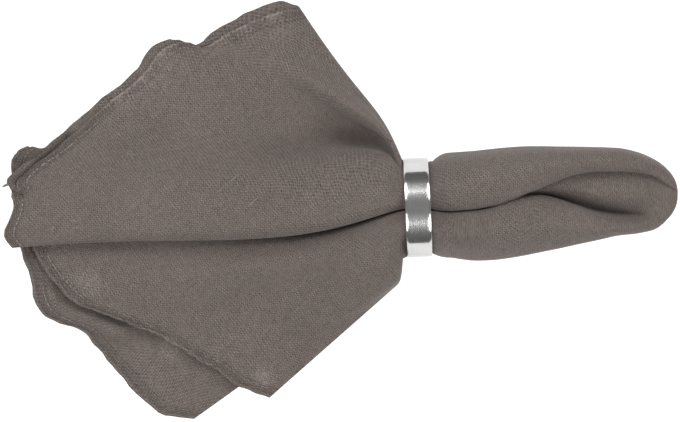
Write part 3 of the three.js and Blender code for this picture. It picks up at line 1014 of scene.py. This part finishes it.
def linen_threads(nodes, where):
    """The weave along the cloth's own map: tone with painted shade between the threads, height, streaks, and
    a speck for each crossing.
    """
    place = nodes.new("ShaderNodeUVMap", uv_map="cloth").outputs["UV"]
    straight = nodes.scaled(place, 1 / (THREAD_PITCH * MM))
    sway = nodes.scaled(nodes.noise(place, *SWAY_NOISE)["Color"], THREAD_SWAY)
    threads = nodes.new("ShaderNodeVectorMath", {0: straight, 1: sway}, operation="ADD").outputs[0]
    across, along, _ = nodes.new("ShaderNodeSeparateXYZ", {0: threads}).outputs
    warp = nodes.math("SINE", nodes.product(across, math.pi))
    weft = nodes.math("SINE", nodes.product(along, math.pi))
    crossing = nodes.product(warp, weft)
    bulge = nodes.math("POWER", nodes.math("ABSOLUTE", crossing), BULGE_POWER)
    over = nodes.spread(crossing, -OVER_EDGE, OVER_EDGE, 0, 1)
    warp_streak = nodes.noise(nodes.stretched(threads, *STREAK_SCALE), *STREAK_NOISE)["Fac"]
    weft_streak = nodes.noise(nodes.stretched(threads, *STREAK_SCALE[::-1]), *STREAK_NOISE)["Fac"]
    mixed = {"Factor": over, "A": weft_streak, "B": warp_streak}
    streak = nodes.new("ShaderNodeMix", mixed).outputs["Result"]
    cell = nodes.new("ShaderNodeVectorMath", {0: threads}, operation="FLOOR").outputs[0]
    speck = nodes.new("ShaderNodeTexWhiteNoise", {"Vector": cell}, noise_dimensions="2D").outputs["Value"]
    ripple = nodes.product(weft, nodes.spread(warp_streak, *RIPPLE_RANGE, *RIPPLE_SHARES))
    cloud = nodes.noise(where, *CLOUD_NOISE)["Fac"]
    tone = nodes.total(
        nodes.spread(over, 0, 1, *OVER_TONES),
        nodes.spread(speck, 0, 1, *SPECK_TONES),
        nodes.spread(streak, *NOISE_RANGE, *STREAK_TONES),
        nodes.spread(ripple, -1, 1, *RIPPLE_TONES),
        # Painted shade between the threads and painted light on their tops.
        nodes.spread(bulge, 0, 1, *BULGE_SHADE_TONES),
        nodes.spread(cloud, *NOISE_RANGE, *CLOUD_TONES),
    )
    height = nodes.total(bulge, nodes.product(streak, STREAK_HEIGHT))
    return tone, height, streak, speck


def hem_wear_and_shade(nodes, where, speck):
    """What the hem adds: its tones, with painted shade in its groove and beside its edges and painted light
    on its rolled edge, with the rubbed places, and the height of its gathers.
    """
    hem_place = nodes.new("ShaderNodeUVMap", uv_map="hem").outputs["UV"]
    _, inward, _ = nodes.new("ShaderNodeSeparateXYZ", {0: hem_place}).outputs
    stops = [((far - HEM_START) / (HEM_END - HEM_START), tone) for far, tone in HEM_TONES_AND_SHADE]
    # The hem's ramp paints shade in the groove, over the band, beside the edges and past the seam, and
    # paints light on the rolled edge.
    hem_tone_and_shade = nodes.ramp(nodes.spread(inward, HEM_START * MM, HEM_END * MM, 0, 1), stops)
    lightened = [nodes.near(where, (x * MM, y * MM, z * MM), radius * MM) for x, y, z, radius in WORN]
    rubbed = nodes.product(
        functools.reduce(lambda a, b: nodes.math("MAXIMUM", a, b), lightened),
        nodes.spread(inward, *RUBBED_EDGE, 0, 1),
        nodes.spread(inward, *RUBBED_END, 1, RUBBED_BEYOND),
        nodes.spread(speck, 0, 1, *RUBBED_LEVEL),
    )
    gathers = nodes.noise(nodes.stretched(hem_place, *GATHER_SCALE), *GATHER_NOISE)["Fac"]
    gathers = nodes.product(gathers, nodes.spread(inward, *GATHER_END, 1, 0))
    return nodes.total(hem_tone_and_shade, rubbed), gathers


def linen_material():
    """Plain-weave linen with uneven threads and painted shade between them, and a worn, puckered hem with
    painted shade and painted light across it.
    """
    nodes = Nodes("linen_weave")
    where = nodes.new("ShaderNodeTexCoord").outputs["Object"]
    tone, height, streak, speck = linen_threads(nodes, where)
    wear_and_shade, gathers = hem_wear_and_shade(nodes, where, speck)
    puckered = nodes.bump(gathers, *GATHER_BUMP)
    look = {
        # The base colour holds painted shade between the threads and along the hem, and painted light on the
        # hem's rolled edge.
        "Base Color": nodes.shade(nodes.total(tone, wear_and_shade), LINEN_DARK, LINEN_LIGHT),
        "Normal": nodes.bump(height, *WEAVE_BUMP, {"Normal": puckered}),
        "Roughness": nodes.spread(streak, *NOISE_RANGE, *LINEN_ROUGHNESS),
        "Sheen Weight": LINEN_SHEEN,
        "Sheen Roughness": SHEEN_ROUGHNESS,
        "Specular IOR Level": LINEN_GLOSS,
    }
    nodes.feed(nodes.shader, look)
    return nodes.material


# Sewing thread: fine fuzz and patches. It is painted lighter at the left, where the hem lies high: a painted
# highlight for the glints of the thread there.
STITCH_DARK = (0.075, 0.0625, 0.0565)
STITCH_LIGHT = (0.34, 0.3, 0.27)
STITCH_ROUGHNESS = 0.85
FUZZ_NOISE = (1400.0, 2.0, 0.6)
FUZZ_TONES = (0, 0.2)
FUZZ_BUMP = (0.4, 0.05 * MM)
PATCH_NOISE = (120.0, 2.0, 0.5)
PATCH_TONES = (0, 0.25)
STITCH_HIGHLIGHT_SPAN = (-115 * MM, -135 * MM)
STITCH_END = (-157 * MM, -159.5 * MM)
STITCH_HIGH = (3 * MM, 4.5 * MM)
STITCH_HIGHLIGHT_TONE = 0.42


def thread_material():
    """Sewing thread with a fine fuzz, and a painted highlight at the left where the hem lies high."""
    nodes = Nodes("sewing_thread")
    where = nodes.new("ShaderNodeTexCoord").outputs["Object"]
    fuzz = nodes.noise(where, *FUZZ_NOISE)["Fac"]
    patches = nodes.noise(where, *PATCH_NOISE)["Fac"]
    left, _, high = nodes.new("ShaderNodeSeparateXYZ", {0: where}).outputs
    # Painted highlight: the stitches are lighter at the left, where the hem lies high.
    lightened = nodes.product(
        nodes.spread(left, *STITCH_HIGHLIGHT_SPAN, 0, STITCH_HIGHLIGHT_TONE),
        nodes.spread(left, *STITCH_END, 1, 0),
        nodes.spread(high, *STITCH_HIGH, 0, 1),
    )
    tone = nodes.total(
        nodes.spread(fuzz, *NOISE_RANGE, *FUZZ_TONES),
        nodes.spread(patches, *NOISE_RANGE, *PATCH_TONES),
        lightened,
    )
    look = {
        "Base Color": nodes.shade(tone, STITCH_DARK, STITCH_LIGHT),
        "Normal": nodes.bump(fuzz, *FUZZ_BUMP),
        "Roughness": STITCH_ROUGHNESS,
    }
    nodes.feed(nodes.shader, look)
    return nodes.material


# Steel: linear colours, fine brushing by its scale across and round the band, and faint smears.
METAL_DARK = (0.43, 0.425, 0.42)
METAL_LIGHT = (0.58, 0.575, 0.565)
BRUSH_SCALE = (4200, 45)
BRUSH_NOISE = (1.0, 3.0, 0.6)
BRUSH_TONES = (0.2, 0.5)
BRUSH_ROUGHNESS = (0.16, 0.22)
BRUSH_BUMP = (0.15, 0.03 * MM)
BRUSH_STRETCH = 0.9
SMEAR_NOISE = (160.0, 2.0, 0.5)
SMEAR_TONES = (0, 0.3)


def metal_material():
    """Polished steel with faint brushing round the band."""
    nodes = Nodes("polished_steel")
    place = nodes.new("ShaderNodeUVMap", uv_map="band").outputs["UV"]
    brushed = nodes.noise(nodes.stretched(place, *BRUSH_SCALE), *BRUSH_NOISE)["Fac"]
    smears = nodes.noise(place, *SMEAR_NOISE)["Fac"]
    tone = nodes.total(
        nodes.spread(brushed, *NOISE_RANGE, *BRUSH_TONES),
        nodes.spread(smears, *NOISE_RANGE, *SMEAR_TONES),
    )
    look = {
        "Base Color": nodes.shade(tone, METAL_DARK, METAL_LIGHT),
        "Normal": nodes.bump(brushed, *BRUSH_BUMP),
        "Roughness": nodes.spread(brushed, *NOISE_RANGE, *BRUSH_ROUGHNESS),
        "Tangent": nodes.new("ShaderNodeTangent", direction_type="UV_MAP", uv_map="band").outputs[0],
        "Anisotropic": BRUSH_STRETCH,
        "Metallic": 1.0,
    }
    nodes.feed(nodes.shader, look)
    return nodes.material


# Table: a floor, by its side in metres, that glows enough to show white.
FLOOR_SIDE = 4.0
FLOOR_COLOUR = (0.35, 0.35, 0.35, 1)
FLOOR_GLOW = 0.85
FLOOR_ROUGHNESS = 0.9
FLOOR_GLOSS = 0.1


def make_floor():
    half = FLOOR_SIDE / 2 / MM
    corners = [(-half, -half, 0), (half, -half, 0), (half, half, 0), (-half, half, 0)]
    nodes = Nodes("white_table")
    look = {
        "Base Color": FLOOR_COLOUR,
        "Emission Color": (1, 1, 1, 1),
        "Emission Strength": FLOOR_GLOW,
        "Roughness": FLOOR_ROUGHNESS,
        "Specular IOR Level": FLOOR_GLOSS,
    }
    nodes.feed(nodes.shader, look)
    new_piece("floor", corners, [(0, 1, 2, 3)], nodes.material)


# Lights: name, place and side in metres, power in watts. Each faces the middle of the napkin.
LIGHTS = (
    ("key_left", -0.85, 1.0, 1.1, 0.9, 19.5),
    ("key_right", 0.95, 1.0, 1.1, 0.9, 19.5),
    ("fill_left", -1.0, -0.9, 1.1, 0.9, 19),
    ("fill_right", 1.0, -0.9, 1.1, 0.9, 19),
)


def make_lights():
    for name, x, y, z, side, power in LIGHTS:
        data = bpy.data.lights.new(name, "AREA")
        data.size = side
        data.energy = power
        lamp = new_object(name, data)
        lamp.location = (x, y, z)
        lamp.rotation_euler = Vector((x, y, z)).to_track_quat("Z", "Y").to_euler()


# The studio round the table is dim low down and lighter overhead.
WORLD_COLOUR = (1, 1, 1.01, 1)
WORLD_LOW = 0.13
WORLD_HIGH = 0.37


def make_world():
    world = bpy.data.worlds.new("studio")
    world.use_nodes = True
    tree = world.node_tree
    direction = tree.nodes.new("ShaderNodeTexCoord")
    parts = tree.nodes.new("ShaderNodeSeparateXYZ")
    height = tree.nodes.new("ShaderNodeMapRange")
    height.inputs["To Min"].default_value = WORLD_LOW
    height.inputs["To Max"].default_value = WORLD_HIGH
    tree.links.new(direction.outputs["Generated"], parts.inputs[0])
    tree.links.new(parts.outputs["Z"], height.inputs["Value"])
    tree.links.new(height.outputs["Result"], tree.nodes["Background"].inputs["Strength"])
    tree.nodes["Background"].inputs["Color"].default_value = WORLD_COLOUR
    bpy.context.scene.world = world
    bpy.context.scene.view_settings.view_transform = "Standard"


# Camera: straight above, through a long lens. It shows FRAME_WIDTH at the height CAMERA_FOCUS.
CAMERA_LENS = 300
CAMERA_SENSOR = 36
CAMERA_X = -1.05
CAMERA_Y = -0.07
CAMERA_FOCUS = 10
FRAME_WIDTH = 325.7


def make_camera():
    data = bpy.data.cameras.new("camera")
    data.lens = CAMERA_LENS
    data.sensor_width = CAMERA_SENSOR
    camera = new_object("camera", data)
    height = CAMERA_FOCUS + FRAME_WIDTH * CAMERA_LENS / CAMERA_SENSOR
    camera.location = (CAMERA_X * MM, CAMERA_Y * MM, height * MM)
    bpy.context.scene.camera = camera


make_camera()
make_lights()
make_world()
make_floor()

rows, to_hem = strip_rows()
rows = lay_creases(hem_ripple(rows, to_hem))
inset = hem_inset(to_hem)
normals = strip_normals(rows)
rise = hem_rise(rows, inset)
napkin = napkin_piece(rows, inset, normals, rise, linen_material())
thread = thread_material()
stitches = stitch_piece(rows, inset, normals, rise, thread)
slubs = slub_piece(napkin, thread)
band = band_piece(metal_material())

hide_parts("napkin")
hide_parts("ring")
for piece, slot in ((napkin, "linen"), (stitches, "linen"), (slubs, "linen"), (band, "metal")):
    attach(piece, "root")
